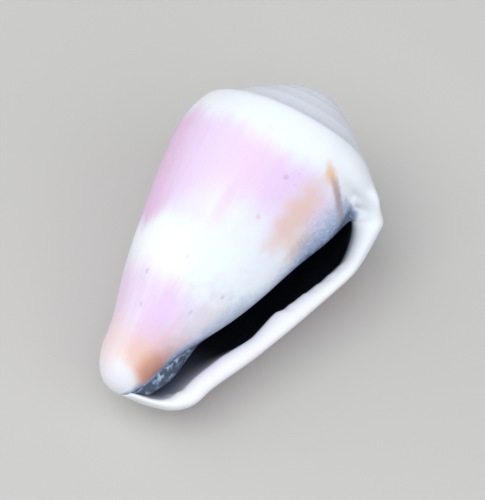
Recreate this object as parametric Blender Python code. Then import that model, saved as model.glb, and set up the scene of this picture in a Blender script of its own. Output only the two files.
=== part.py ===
"""Yellow cone shell, beach worn: one coiled wall from the spire to the lip, the columella and the tip.

The wall is a strip that winds down from the apex. A turn coordinate T runs along it: T is 0 at the lip
and falls by a full circle for every turn back toward the apex. Lengths are in millimetres until the end.
"""

import math

import bmesh
import bpy
import numpy as np

FULL_TURN = 2 * math.pi
MILLIMETRE = 0.001

# Growth of the shoulder line, seen along the axis, and how it flares and rises at the lip
TURN_GROWTH = 1.36
LIP_SHOULDER_RADIUS = 11.3
SPIRE_TURNS = 6
SHOULDER_FLARE = 2.3
SHOULDER_LIFT = 0.7
FLARE_TURN_BEFORE = 0.33
FLARE_TURN_PAST = 0.2

# Spire: a low cone, worn round at the apex
SPIRE_TOP = 42.88
SPIRE_SLOPE = 0.835
APEX_ROUNDING = 3.4
SPIRE_LEAN = 1.3
SUTURE_DEPTH = 0.12
SUTURE_WIDTH = 0.4
RAMP_SAG = 0.2

# How much the shoulder line draws the start of the side curve toward the slope of the ramp
RAMP_PULL = 0.8

# Side of the last whorl: height above the tip, radius at the lip, radius one turn earlier
SIDE = (
    (31.8, 12.4, 8.75),
    (28.3, 12.85, 8.55),
    (24.5, 12.55, 7.75),
    (18.5, 11.1, 6.5),
    (12.5, 9.4, 4.9),
    (7.0, 7.6, 2.6),
    (4.3, 6.95, 1.8),
    (2.7, 5.6, 1.45),
    (1.75, 3.6, 1.1),
    (1.25, 1.5, 0.7),
)
SIDE_TOP = 31.82
TIP_HEIGHT = 1.1
SHRINK_POWER = 1.6

# Flare of the side toward the lip, and the shoulder worn down where it faces away from the lip
LIP_FLARE = 0.5
FLARE_TURN = 0.6
FLARE_FOOT = 13.0
FLARE_TOP = 34.0
WORN_SHOULDER = 0.9
WORN_SHOULDER_TURN = -3.75
WORN_SHOULDER_REACH = 1.1
WORN_SHOULDER_FOOT = 27.0
WORN_SHOULDER_HEIGHT = 5.0

# Bent tip with its small rounded lobe
TIP_SHIFT = 0.66
TIP_FADE = 9.0
TIP_LOBE = 0.5
TIP_LOBE_PLACE = -2.7
TIP_LOBE_SIZE = 2.0

# Wall at the lip: height above the tip and thickness
LIP_WALL = (
    (1.0, 0.45),
    (1.8, 0.7),
    (3.0, 1.8),
    (5.0, 2.1),
    (9.5, 2.25),
    (13.0, 1.85),
    (16.0, 2.05),
    (18.0, 2.1),
    (22.0, 1.8),
    (26.0, 1.65),
    (28.5, 2.2),
    (31.0, 2.8),
)
LIP_WALL_SHARE = 0.25
LEVEL_FROM = 24.0
LEVEL_RUN = 3.0
STEP_HEIGHT = 17.4
STEP_RUN = 0.9
STEP_DEPTH = 0.4
STEP_FADE = 5.5
STEP_REACH = 12
LIP_ROUNDING = 0.85
WALL_ROUNDING = 0.35
CORNER_BLEND = 3.0
TIP_BLEND = 1.5

# The space behind the lip
INNER_WALL = 1.25
MOUTH_INSET = 0.08
CAVITY_TURN = 1.6 * math.pi
CAVITY_BUNCHING = 1.5
CEILING_AT_LIP = 3.3
CEILING_INSIDE = 2.2
FLOOR_AT_LIP = 1.6
FLOOR_RISE = 8.0
SLOT_TOP_END = 4.0
SLOT_FOOT_END = 1.2
SLOT_FOOT_GROWTH = 2.0
SLOT_LEAN = 0.1
NARROWEST_GAP = 0.6

# The twisted pillar that stands out just inside the mouth near the tip
COLUMELLA_RISE = 2.5
COLUMELLA_LEVEL = 5.5
COLUMELLA_REACH = 4.6
COLUMELLA_FULL = 0.7
COLUMELLA_FADE_FROM = 1.2
COLUMELLA_FADE = 1.2

# Worn strip of the last whorl that runs on past the lip over the shoulder
STRIP_ANGLE = 1.0
STRIP_DEPTH = 3.6
STRIP_DROP = 0.9
STRIP_WORN = 0.3
STRIP_KNEE = (0.12, 0.5)

# Hollow under that strip: it starts at the mouth and climbs to the shoulder as it fades
HOLLOW_DEPTH = 0.55
HOLLOW_BELOW = 5.4
HOLLOW_CLIMB = 2.0
HOLLOW_WIDTH = 0.8

# The wall stands out beside the mouth: depth, height above the tip, reach
SWELL = (
    (1.03, 27.44, 3.87),
    (0.51, 20.74, 7.18),
)

# Wear. Spots: turn, distance outward and upward from the shoulder at the lip, reach
WEAR_SPOTS = (
    (0.0, 0.3, -1.7, 5.4),
    (0.05, -1.8, -1.6, 3.6),
)
WEAR_RATE = 0.7
WEAR_PASSES = 8
SHOULDER_WORN = 0.18
SHOULDER_WORN_REACH = 2.4
LAST_WHORL = 1.02 * FULL_TURN

# Rest on a table: where round the side it lies, how far the axis rises, how deep the worn flat is
REST_TURN = -math.radians(78)
REST_TILT = math.radians(12.5)
FLAT_DEPTH = 0.2

# Grid
COLUMNS = 72
RAMP_ROWS = 3
HEAD_ROWS = 6
HEAD_SHARE = 0.125
BODY_ROWS = 14
BODY_SHARE = 0.82
TIP_ROWS = 7
LIP_LOOPS = 4
CAVITY_LOOPS = 20
CURVE_STEPS = 24


def smooth(value):
    value = np.clip(value, 0, 1)
    return value * value * (3 - 2 * value)


def shoulder(turn):
    """Radius and height of the shoulder line."""
    radius = LIP_SHOULDER_RADIUS * TURN_GROWTH ** (turn / FULL_TURN)
    near_lip = math.exp(-((turn / (FLARE_TURN_BEFORE if turn < 0 else FLARE_TURN_PAST)) ** 2))
    radius += SHOULDER_FLARE * near_lip
    lean = SPIRE_LEAN * (math.sin(turn / 2) * radius / LIP_SHOULDER_RADIUS) ** 2
    height = SPIRE_TOP - SPIRE_SLOPE * math.hypot(radius, APEX_ROUNDING) - lean
    return np.array([radius, height + SHOULDER_LIFT * near_lip])


def ramp(turn, share):
    """Points on the sloping top of a whorl, from the suture (share 0) to the shoulder (share 1)."""
    suture = shoulder(turn - FULL_TURN)
    share = np.asarray(share, float)[:, None]
    points = suture + (shoulder(turn) - suture) * share
    size = (shoulder(turn)[0] / LIP_SHOULDER_RADIUS) ** 2
    sag = SUTURE_DEPTH * np.exp(-((share[:, 0] / SUTURE_WIDTH) ** 2))
    points[:, 1] -= size * (sag + RAMP_SAG * np.sin(math.pi * share[:, 0]))
    return points


def side_offset(turn, height):
    """How far the lip's flare and the worn shoulder move the side outward."""
    flare = LIP_FLARE * math.exp(-((turn / FLARE_TURN) ** 2))
    worn = WORN_SHOULDER * math.exp(-(((turn - WORN_SHOULDER_TURN) / WORN_SHOULDER_REACH) ** 2))
    out = flare * smooth((height - FLARE_FOOT) / (FLARE_TOP - FLARE_FOOT))
    return out - worn * smooth((height - WORN_SHOULDER_FOOT) / WORN_SHOULDER_HEIGHT)


def side_curve(turn):
    """Smooth curve down the side, from the shoulder line to the tip."""
    back = max(-turn / FULL_TURN, 0.0) ** SHRINK_POWER
    lift = shoulder(turn)[1] / SIDE_TOP
    start = shoulder(turn)
    knots = [start]
    for height, radius, earlier in SIDE:
        grown = radius * (earlier / radius) ** back + side_offset(turn, height)
        knots.append((grown, height * lift))
    knots.append((0.0, TIP_HEIGHT))
    before = start + RAMP_PULL * (shoulder(turn - FULL_TURN) - start)
    after = (-knots[-2][0], knots[-2][1])
    c = np.array([before] + knots + [after])
    spans = len(knots) - 1
    t = np.linspace(0, spans, spans * CURVE_STEPS + 1)
    i = np.minimum(t.astype(int), spans - 1)
    u = (t - i)[:, None]
    p0, p1, p2, p3 = c[i], c[i + 1], c[i + 2], c[i + 3]
    cubic = (3 * p1 - p0 - 3 * p2 + p3) * u**3 + (2 * p0 - 5 * p1 + 4 * p2 - p3) * u**2
    return 0.5 * (2 * p1 + (p2 - p0) * u + cubic)


def arc_lengths(curve):
    return np.r_[0, np.cumsum(np.hypot(*np.diff(curve, axis=0).T))]


def along(curve, lengths):
    """Points of a curve at the given lengths from its start."""
    arcs = arc_lengths(curve)
    return np.stack([np.interp(lengths, arcs, curve[:, k]) for k in (0, 1)], 1)


def place(turn, points):
    """Half plane points to space. The lip lies toward +X, the tip is bent to the far side."""
    radius, height = np.asarray(points, float).T
    bend = TIP_SHIFT * np.exp(-((height / TIP_FADE) ** 2))
    x = radius * math.cos(turn) - bend
    y = -radius * math.sin(turn)
    spread = ((x - TIP_LOBE_PLACE) ** 2 + y**2 + (height - TIP_HEIGHT) ** 2) / TIP_LOBE_SIZE**2
    return np.stack([x, y, height - TIP_LOBE * np.exp(-spread)], -1)


def side_shares():
    """How far down the side each row lies; the rows are closer under the shoulder and at the tip."""
    head = np.linspace(0, HEAD_SHARE, HEAD_ROWS + 1)
    body = np.linspace(HEAD_SHARE, BODY_SHARE, BODY_ROWS + 1)[1:]
    return np.r_[head, body, np.linspace(BODY_SHARE, 1, TIP_ROWS + 1)[1:]]


def side_rows(turn):
    curve = side_curve(turn)
    return along(curve, side_shares() * arc_lengths(curve)[-1])


def swell(height):
    """How much the wall beside the mouth stands out."""
    return sum(depth * np.exp(-(((height - level) / reach) ** 2)) for depth, level, reach in SWELL)


def strip_rows(turn, rows):
    """Rows of the early side, thickened by the worn strip that runs on over the shoulder."""
    past = turn + FULL_TURN
    share = past / STRIP_ANGLE
    if share >= 1:
        return rows
    edge = RAMP_ROWS + 1
    foot = along(side_curve(turn), [STRIP_DEPTH + STRIP_DROP * (1 - share)])[0]
    top = ramp(past, np.arange(edge + 1) / edge)
    t = np.linspace(0, 1, HEAD_ROWS - edge + 1)[1:, None]
    knee = top[-1] - np.array(STRIP_KNEE) * (top[-1] - foot)
    under = (1 - t) ** 2 * top[-1] + 2 * t * (1 - t) * knee + t**2 * foot
    sharp = np.vstack([top, under])
    t = np.linspace(0, 1, HEAD_ROWS + 1)[:, None]
    worn = (1 - t) ** 2 * top[0] + 2 * t * (1 - t) * top[-1] + t**2 * foot
    shaped = worn + (sharp - worn) * (1 - smooth(share / STRIP_WORN))
    head = slice(0, HEAD_ROWS + 1)
    rows[head] += (shaped - rows[head]) * (1 - smooth(share))
    below = arc_lengths(rows) - HOLLOW_BELOW + HOLLOW_CLIMB * share
    rows[:, 0] -= HOLLOW_DEPTH * (1 - smooth(share)) * np.exp(-((below / HOLLOW_WIDTH) ** 2))
    rows[:, 0] += swell(rows[:, 1]) * (1 - smooth(share))
    return rows


def columella(turn, height):
    """How much the pillar stands out into the space."""
    inward = smooth(-turn / COLUMELLA_FULL) * (1 - smooth((-turn - COLUMELLA_FADE_FROM) / COLUMELLA_FADE))
    return COLUMELLA_RISE * inward * np.exp(-(((height - COLUMELLA_LEVEL) / COLUMELLA_REACH) ** 2))


def lip_step(height, depth):
    """The inner edge of the lip steps in, halfway down."""
    below = STEP_HEIGHT - height
    step = STEP_DEPTH * smooth(below / STEP_RUN) * (1 - smooth(below / STEP_FADE))
    return step * (1 - smooth(depth * STEP_REACH))


def radius_at(curve, heights):
    order = np.argsort(curve[:, 1])
    return np.interp(heights, curve[order, 1], curve[order, 0])


def wall_at(heights, depth):
    wall = np.interp(heights, *np.transpose(LIP_WALL))
    return wall + (INNER_WALL - wall) * smooth(depth / LIP_WALL_SHARE) + lip_step(heights, depth)


def inside_radius(turn, depth, heights):
    """Radius of the wall's inner face: square to the side curve, and level under the shoulder."""
    curve = side_curve(turn)
    step = np.gradient(curve, axis=0)
    step /= np.hypot(step[:, 0], step[:, 1])[:, None]
    inward = np.stack([step[:, 1], -step[:, 0]], 1)
    square = radius_at(curve + inward * wall_at(curve[:, 1], depth)[:, None], heights)
    level = radius_at(curve, heights) - wall_at(heights, depth)
    return square + (level - square) * smooth((heights - LEVEL_FROM) / LEVEL_RUN)


def slot(turn, share, sides):
    """Cross section of the space at one turn coordinate: share 0 is its foot, 1 its top."""
    depth = min(-turn / CAVITY_TURN, 1.0)
    middle = (shoulder(turn)[0] + shoulder(turn - FULL_TURN)[0]) / 2
    under_ramp = SPIRE_TOP - SPIRE_SLOPE * math.hypot(middle, APEX_ROUNDING)
    top = under_ramp - (CEILING_AT_LIP + (CEILING_INSIDE - CEILING_AT_LIP) * depth)
    foot = FLOOR_AT_LIP + FLOOR_RISE * depth
    height = foot + (top - foot) * share
    outer = inside_radius(turn, depth, height)
    inner = radius_at(side_curve(turn - FULL_TURN), height) + columella(turn, height)
    inner += swell(height) * (1 - smooth(-turn))
    inner = np.minimum(inner, outer - NARROWEST_GAP)
    foot_end = SLOT_FOOT_END + SLOT_FOOT_GROWTH * depth
    near_top = np.clip((height - top + SLOT_TOP_END) / SLOT_TOP_END, 0, 1)
    near_foot = np.clip((foot + foot_end - height) / foot_end, 0, 1)
    width = np.sqrt((1 - near_top**2) * (1 - near_foot**2))
    radius = (outer + inner) / 2 + (sides * width + SLOT_LEAN * near_top**2) * (outer - inner) / 2
    return place(turn, np.stack([radius, height], 1))


class Mesh:
    """Vertices, each with its turn coordinate, and faces."""

    def __init__(self):
        self.points = []
        self.turns = []
        self.faces = []

    def add(self, point, turn):
        self.points.append(tuple(float(x) for x in point))
        self.turns.append(turn)
        return len(self.points) - 1

    def add_rows(self, turn, rows):
        return [self.add(p, turn) for p in place(turn, rows)]

    def strip(self, left, right):
        """Faces between two rows of vertices."""
        for a, b, c, d in zip(left[:-1], left[1:], right[1:], right[:-1]):
            corners = [a, d, c, b]
            self.faces.append(tuple(k for i, k in enumerate(corners) if k != corners[i - 1]))


def turn_of(column):
    return (column / COLUMNS - SPIRE_TURNS) * FULL_TURN


def shoulder_vertices(mesh):
    """One vertex for each column of the spire, down to where the last whorl starts."""
    line = []
    for j in range((SPIRE_TURNS - 1) * COLUMNS + 1):
        line += mesh.add_rows(turn_of(j), [shoulder(turn_of(j))])
    return line


def add_last_whorl(mesh, line):
    """Side columns of the last turn. The shoulder line grows by one vertex a column."""
    tip = mesh.add(place(0.0, [(0.0, TIP_HEIGHT)])[0], 0.0)
    start = strip_rows(-FULL_TURN, side_rows(-FULL_TURN))
    grid = [[line[-1]] + mesh.add_rows(-FULL_TURN, start[1:-1]) + [tip]]
    for j in range(1, COLUMNS):
        turn = (j / COLUMNS - 1) * FULL_TURN
        rows = strip_rows(turn, side_rows(turn))
        grid.append(mesh.add_rows(turn, rows[:-1]) + [tip])
        line.append(grid[-1][0])
    corner = grid[0][RAMP_ROWS + 1]
    line.append(corner)
    grid.append([corner] + mesh.add_rows(0.0, side_rows(0.0)[1:-1]) + [tip])
    for left, right in zip(grid[:-1], grid[1:]):
        mesh.strip(left, right)
    return grid


def add_spire(mesh, line, first_column):
    """Ramps between each turn of the shoulder line and the turn before, and the cap at the apex."""
    shares = np.arange(1, RAMP_ROWS + 1) / (RAMP_ROWS + 1)
    ramps = []
    for j in range(COLUMNS, len(line) - 1):
        inner = mesh.add_rows(turn_of(j), ramp(turn_of(j), shares))
        ramps.append([line[j - COLUMNS]] + inner + [line[j]])
    ramps.append(first_column[: RAMP_ROWS + 2])
    for left, right in zip(ramps[:-1], ramps[1:]):
        mesh.strip(left, right)
    apex = mesh.add((0.0, 0.0, SPIRE_TOP - SPIRE_SLOPE * APEX_ROUNDING), turn_of(0))
    last = line[COLUMNS - 1]
    for a, b in zip(line[: COLUMNS - 1], line[1:COLUMNS]):
        mesh.faces.append((apex, b, a))
    ring = [apex] + ramps[0]
    for a, b in zip(ring[:-1], ring[1:]):
        mesh.faces.append((a, b, last))


def rounding(edge, sides):
    """How far the rounded edge stands out; it fades where the loop passes the corner and the tip."""
    gaps = np.linalg.norm(np.diff(edge, axis=0, append=edge[:1]), axis=1)
    along_loop = np.cumsum(gaps) - gaps
    from_corner = np.minimum(along_loop, gaps.sum() - along_loop)
    tip = np.flatnonzero(sides == 0)[-1]
    from_tip = np.abs(along_loop - along_loop[tip])
    reach = np.where(sides > 0, LIP_ROUNDING, WALL_ROUNDING)
    return reach * smooth(from_corner / CORNER_BLEND) * smooth(from_tip / TIP_BLEND)


def mouth_loops(edge, share, sides):
    """The rounding of the lip, then the cross sections of the space, each with its turn."""
    inside = slot(-MOUTH_INSET, share, sides)
    reach = rounding(edge, sides)
    for k in range(1, LIP_LOOPS + 1):
        angle = math.pi * k / LIP_LOOPS
        points = edge + (inside - edge) * (1 - math.cos(angle)) / 2
        points[:, 1] -= reach * math.sin(angle)
        yield -MOUTH_INSET * k / LIP_LOOPS, points
    for k in range(1, CAVITY_LOOPS + 1):
        back = (k / CAVITY_LOOPS) ** CAVITY_BUNCHING
        turn = -MOUTH_INSET - (CAVITY_TURN - MOUTH_INSET) * back
        yield turn, slot(turn, share, sides)


def add_mouth(mesh, first_column, last_column):
    """Rounded lip and the space behind it, loop by loop, closed by an end wall."""
    inner_rows = list(range(len(first_column) - 2, RAMP_ROWS + 1, -1))
    loop = last_column + [first_column[i] for i in inner_rows]
    sides = np.array([0] + [1] * (len(last_column) - 2) + [0] + [-1] * len(inner_rows))
    edge = np.array([mesh.points[i] for i in loop])
    share = np.clip((edge[:, 2] - TIP_HEIGHT) / (edge[0, 2] - TIP_HEIGHT), 0, 1)
    for turn, points in mouth_loops(edge, share, sides):
        turns = np.where(sides > 0, turn, turn - FULL_TURN)
        ring = [mesh.add(p, t) for p, t in zip(points, turns)]
        mesh.strip(loop + loop[:1], ring + ring[:1])
        loop = ring
    centre = mesh.add(points.mean(axis=0), turn)
    for a, b in zip(loop, loop[1:] + loop[:1]):
        mesh.faces.append((a, centre, b))


def shell_mesh():
    mesh = Mesh()
    line = shoulder_vertices(mesh)
    grid = add_last_whorl(mesh, line)
    add_spire(mesh, line, grid[0])
    add_mouth(mesh, grid[0], grid[-1])
    return mesh


def worn_share(points, turns):
    """How much each vertex wears, from 0 to 1."""
    share = np.zeros(len(points))
    for turn, outward, up, reach in WEAR_SPOTS:
        spot = place(turn, [shoulder(0.0) + (outward, up)])[0]
        share = np.maximum(share, 1 - smooth(np.linalg.norm(points - spot, axis=1) / reach))
    lines = np.array([shoulder(turn) for turn in turns])
    radius = np.hypot(points[:, 0], points[:, 1])
    from_line = np.hypot(radius - lines[:, 0], points[:, 2] - lines[:, 1])
    along_line = 1 - smooth(from_line / SHOULDER_WORN_REACH)
    return np.maximum(share, SHOULDER_WORN * along_line * (turns > -LAST_WHORL))


def wear(mesh):
    """Draw the vertices near the corners toward their neighbours, pass by pass."""
    points = np.array(mesh.points)
    share = WEAR_RATE * worn_share(points, np.array(mesh.turns))[:, None]
    pairs = np.array([pair for face in mesh.faces for pair in zip(face, face[1:] + face[:1])])
    count = np.bincount(pairs[:, 0], minlength=len(points))[:, None]
    for _ in range(WEAR_PASSES):
        total = np.zeros_like(points)
        np.add.at(total, pairs[:, 0], points[pairs[:, 1]])
        points += share * (total / count - points)
    return points


def rest_pose(points):
    """Lay the shell on its side, spire toward +Y, and wear the lowest part flat."""
    out = np.array([math.cos(REST_TURN), -math.sin(REST_TURN), 0.0])
    axis = np.array([0.0, 0.0, 1.0])
    down = math.cos(REST_TILT) * out - math.sin(REST_TILT) * axis
    ahead = math.sin(REST_TILT) * out + math.cos(REST_TILT) * axis
    right = np.cross(down, ahead)
    turned = points @ np.stack([right, ahead, -down], 1)
    floor = turned[:, 2].min() + FLAT_DEPTH
    turned[:, 2] = np.maximum(turned[:, 2], floor)
    low, high = turned.min(axis=0), turned.max(axis=0)
    return turned - np.array([(low[0] + high[0]) / 2, (low[1] + high[1]) / 2, floor])


def shell_material():
    material = bpy.data.materials.new("worn_shell")
    material.use_nodes = True
    bsdf = material.node_tree.nodes["Principled BSDF"]
    bsdf.inputs["Base Color"].default_value = (0.82, 0.76, 0.83, 1.0)
    bsdf.inputs["Roughness"].default_value = 0.35
    return material


def main():
    for item in list(bpy.data.objects):
        bpy.data.objects.remove(item, do_unlink=True)
    mesh = shell_mesh()
    points = rest_pose(wear(mesh)) * MILLIMETRE
    data = bpy.data.meshes.new("shell")
    data.from_pydata(points.tolist(), [], mesh.faces)
    work = bmesh.new()
    work.from_mesh(data)
    bmesh.ops.triangulate(work, faces=work.faces[:])
    work.to_mesh(data)
    work.free()
    data.materials.append(shell_material())
    shell = bpy.data.objects.new("shell", data)
    bpy.context.scene.collection.objects.link(shell)


main()
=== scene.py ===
# %% [markdown]
# # A beach-worn cone shell
#
# The shell grew as one wall that winds round an axis. A low spire of older whorls sits on top, the last
# whorl hides all the rest, and its edge, the lip, leaves a long narrow mouth. The sea has worn this one:
# the apex and the lip are round, and the dull yellow-brown outer coat is gone but for a few
# orange-tan remains. What shows is porcelain white with two lilac bands.
#
# This lesson builds the wall from its law of growth, wears it, colours it by where each point lies on the
# shell, and sets it on a pale floor in soft light.

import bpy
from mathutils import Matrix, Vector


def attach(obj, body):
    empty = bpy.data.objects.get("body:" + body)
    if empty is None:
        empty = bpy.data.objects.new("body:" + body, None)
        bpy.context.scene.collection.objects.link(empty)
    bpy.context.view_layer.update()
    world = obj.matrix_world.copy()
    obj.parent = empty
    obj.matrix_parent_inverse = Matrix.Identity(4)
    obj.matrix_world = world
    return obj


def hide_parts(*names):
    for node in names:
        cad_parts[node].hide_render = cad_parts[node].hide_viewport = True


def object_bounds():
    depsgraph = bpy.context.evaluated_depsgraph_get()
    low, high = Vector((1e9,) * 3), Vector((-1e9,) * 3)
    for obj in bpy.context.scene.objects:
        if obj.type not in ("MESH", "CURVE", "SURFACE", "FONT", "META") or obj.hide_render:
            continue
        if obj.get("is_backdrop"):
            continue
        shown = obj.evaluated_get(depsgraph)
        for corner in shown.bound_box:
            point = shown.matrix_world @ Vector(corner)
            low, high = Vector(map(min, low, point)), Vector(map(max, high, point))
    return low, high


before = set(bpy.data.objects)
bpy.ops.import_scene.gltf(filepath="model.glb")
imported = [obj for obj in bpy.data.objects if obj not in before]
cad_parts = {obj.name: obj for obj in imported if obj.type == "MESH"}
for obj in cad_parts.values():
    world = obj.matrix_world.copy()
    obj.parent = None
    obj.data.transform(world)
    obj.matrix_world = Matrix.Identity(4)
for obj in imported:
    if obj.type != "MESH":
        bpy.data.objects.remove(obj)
cad_low, cad_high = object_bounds()
print("frame holds", sorted(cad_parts), "from", list(cad_low), "to", list(cad_high))

# %% [markdown]
# ## Units and tools
#
# The frame is in metres. A shell is easier to think about in millimetres, with its axis upright and the
# tip at the bottom, so the wall is worked out that way and laid down in metres at the end.

# %% Tools and units
import math

import bpy
import numpy as np
from mathutils import Vector, noise

MILLIMETRE = 0.001
FULL_TURN = 2 * math.pi


def smooth(value):
    """A soft step from 0 to 1."""
    value = np.clip(value, 0, 1)
    return value * value * (3 - 2 * value)


def bell(value):
    """1 at 0, and falling softly to 0 on both sides."""
    return np.exp(-(value**2))


print("working in millimetres, then in metres")

# %% [markdown]
# ## The shoulder line
#
# Every whorl of a cone shell has a shoulder, where the sloping top turns down into the side. Seen along
# the axis, that line is a spiral that grows by the same factor each turn. One number, the turn, says how
# far along the spiral a point lies: 0 at the lip, and a full circle less for each turn back. The spire is
# a low cone, so the height of the line follows from its radius, with the apex worn round. Just before the
# lip the line flares out and rises a little, as the photograph shows.

# %% Shoulder line
TURN_GROWTH = 1.36
LIP_SHOULDER_RADIUS = 11.3
SPIRE_TURNS = 6
SPIRE_TOP = 42.88
SPIRE_SLOPE = 0.835
APEX_ROUNDING = 3.4
SPIRE_LEAN = 1.3
SHOULDER_FLARE = 2.3
SHOULDER_LIFT = 0.7
FLARE_TURN_BEFORE = 0.33
FLARE_TURN_PAST = 0.2


def shoulder(turn):
    """Radius and height of the shoulder line."""
    radius = LIP_SHOULDER_RADIUS * TURN_GROWTH ** (turn / FULL_TURN)
    near_lip = bell(turn / (FLARE_TURN_BEFORE if turn < 0 else FLARE_TURN_PAST))
    radius += SHOULDER_FLARE * near_lip
    lean = SPIRE_LEAN * (math.sin(turn / 2) * radius / LIP_SHOULDER_RADIUS) ** 2
    height = SPIRE_TOP - SPIRE_SLOPE * math.hypot(radius, APEX_ROUNDING) - lean
    return np.array([radius, height + SHOULDER_LIFT * near_lip])


print("shoulder at the lip (radius, height):", shoulder(0.0).round(2))

# %% [markdown]
# ## The sloping top of a whorl
#
# Between one turn of the shoulder line and the turn before lies a ramp. It sags a little in the middle and
# sinks at the suture, where the new whorl was laid against the old one. On a fresh shell the suture is a
# sharp groove, and on this one it is only a shallow ring.

# %% Ramp
SUTURE_DEPTH = 0.12
SUTURE_WIDTH = 0.4
RAMP_SAG = 0.2


def ramp(turn, share):
    """Points on the sloping top, from the suture (share 0) to the shoulder (share 1)."""
    suture = shoulder(turn - FULL_TURN)
    share = np.asarray(share, float)
    points = suture + (shoulder(turn) - suture) * share[:, None]
    size = (shoulder(turn)[0] / LIP_SHOULDER_RADIUS) ** 2
    sag = SUTURE_DEPTH * bell(share / SUTURE_WIDTH) + RAMP_SAG * np.sin(math.pi * share)
    points[:, 1] -= size * sag
    return points


print("middle of the last ramp (radius, height):", ramp(0.0, [0.5])[0].round(2))

# %% [markdown]
# ## The side of the last whorl
#
# The side runs from the shoulder to the tip. A few heights with the radius at the lip and one turn
# earlier are enough: a smooth curve goes through them, and the turns between follow by a power law.
# A lathe could not make this, because the radius changes all the way round. The side also flares a little
# toward the lip, and its shoulder is more worn on the left of the photograph.

# %% Side curve
# Height over the tip, radius at the lip, radius one turn earlier
SIDE = (
    (31.8, 12.4, 8.75),
    (28.3, 12.85, 8.55),
    (24.5, 12.55, 7.75),
    (18.5, 11.1, 6.5),
    (12.5, 9.4, 4.9),
    (7.0, 7.6, 2.6),
    (4.3, 6.95, 1.8),
    (2.7, 5.6, 1.45),
    (1.75, 3.6, 1.1),
    (1.25, 1.5, 0.7),
)
SIDE_TOP = 31.82
TIP_HEIGHT = 1.1
SHRINK_POWER = 1.6
RAMP_PULL = 0.8
LIP_FLARE = 0.5
FLARE_TURN = 0.6
FLARE_FOOT = 13.0
FLARE_TOP = 34.0
WORN_SHOULDER = 0.9
WORN_SHOULDER_TURN = -3.75
WORN_SHOULDER_REACH = 1.1
WORN_SHOULDER_FOOT = 27.0
WORN_SHOULDER_HEIGHT = 5.0
CURVE_STEPS = 24


def side_curve(turn):
    """Smooth curve down the side, from the shoulder line to the tip."""
    back = max(-turn / FULL_TURN, 0.0) ** SHRINK_POWER
    lift = shoulder(turn)[1] / SIDE_TOP
    start = shoulder(turn)
    knots = [start]
    flare = LIP_FLARE * bell(turn / FLARE_TURN)
    worn = WORN_SHOULDER * bell((turn - WORN_SHOULDER_TURN) / WORN_SHOULDER_REACH)
    for height, radius, earlier in SIDE:
        out = flare * smooth((height - FLARE_FOOT) / (FLARE_TOP - FLARE_FOOT))
        out -= worn * smooth((height - WORN_SHOULDER_FOOT) / WORN_SHOULDER_HEIGHT)
        knots.append((radius * (earlier / radius) ** back + out, height * lift))
    knots.append((0.0, TIP_HEIGHT))
    before = start + RAMP_PULL * (shoulder(turn - FULL_TURN) - start)
    after = (-knots[-2][0], knots[-2][1])
    c = np.array([before] + knots + [after])
    spans = len(knots) - 1
    t = np.linspace(0, spans, spans * CURVE_STEPS + 1)
    i = np.minimum(t.astype(int), spans - 1)
    u = (t - i)[:, None]
    p0, p1, p2, p3 = c[i], c[i + 1], c[i + 2], c[i + 3]
    cubic = (3 * p1 - p0 - 3 * p2 + p3) * u**3 + (2 * p0 - 5 * p1 + 4 * p2 - p3) * u**2
    return 0.5 * (2 * p1 + (p2 - p0) * u + cubic)


def arc_lengths(curve):
    """Length along a curve up to each of its points."""
    return np.r_[0, np.cumsum(np.hypot(*np.diff(curve, axis=0).T))]


def along(curve, lengths):
    """Points of a curve at the given lengths from its start."""
    arcs = arc_lengths(curve)
    return np.stack([np.interp(lengths, arcs, curve[:, k]) for k in (0, 1)], 1)


print("length of the side at the lip:", round(arc_lengths(side_curve(0.0))[-1], 1), "mm")

# %% [markdown]
# ## From a half plane to space
#
# A point has a turn, a radius and a height. The lip lies toward +X and the shell coils to the right. The
# tip of this shell is bent a little to the far side of the mouth and ends in a small rounded lobe.

# %% Place a point
TIP_SHIFT = 0.66
TIP_FADE = 9.0
TIP_LOBE = 0.5
TIP_LOBE_PLACE = -2.7
TIP_LOBE_SIZE = 2.0


def place(turn, points):
    """Half plane points to space, with the axis upright."""
    radius, height = np.asarray(points, float).T
    bend = TIP_SHIFT * bell(height / TIP_FADE)
    x = radius * math.cos(turn) - bend
    y = -radius * math.sin(turn)
    spread = ((x - TIP_LOBE_PLACE) ** 2 + y**2 + (height - TIP_HEIGHT) ** 2) / TIP_LOBE_SIZE**2
    return np.stack([x, y, height - TIP_LOBE * np.exp(-spread)], -1)


print("shoulder at the lip, in space:", place(0.0, [shoulder(0.0)])[0].round(2))

# %% [markdown]
# ## Rows of the grid
#
# The surface is a grid of columns round the axis and rows down the side. The rows are closer under the
# shoulder and at the tip, where the form turns fastest. The grid is several times finer here than in the
# plain solid, so that dents and ripples can be real shape and not only shading.

# %% Grid
COLUMNS = 330
RAMP_ROWS = 10
HEAD_ROWS = 24
HEAD_SHARE = 0.125
BODY_ROWS = 66
BODY_SHARE = 0.82
TIP_ROWS = 32
LIP_LOOPS = 14
CAVITY_LOOPS = 70


def side_shares():
    """How far down the side each row lies."""
    head = np.linspace(0, HEAD_SHARE, HEAD_ROWS + 1)
    body = np.linspace(HEAD_SHARE, BODY_SHARE, BODY_ROWS + 1)[1:]
    return np.r_[head, body, np.linspace(BODY_SHARE, 1, TIP_ROWS + 1)[1:]]


SIDE_SHARES = side_shares()


def side_rows(turn):
    """Points down the side, one for each row of the grid."""
    curve = side_curve(turn)
    return along(curve, SIDE_SHARES * arc_lengths(curve)[-1])


print("rows down the side:", len(SIDE_SHARES))

# %% [markdown]
# ## The worn strip over the shoulder
#
# The free part of the lip has broken back and been worn round, but where the last whorl was laid on the
# shoulder below, a strip of it is left. It carries on past the lip as a rounded band and fades out.
# Under it runs a shallow hollow that leads into the top of the mouth. Beside the upper half of the mouth
# the wall stands out in a low swell: two bell curves, fitted to the mouth's edge in the photograph.

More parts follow.
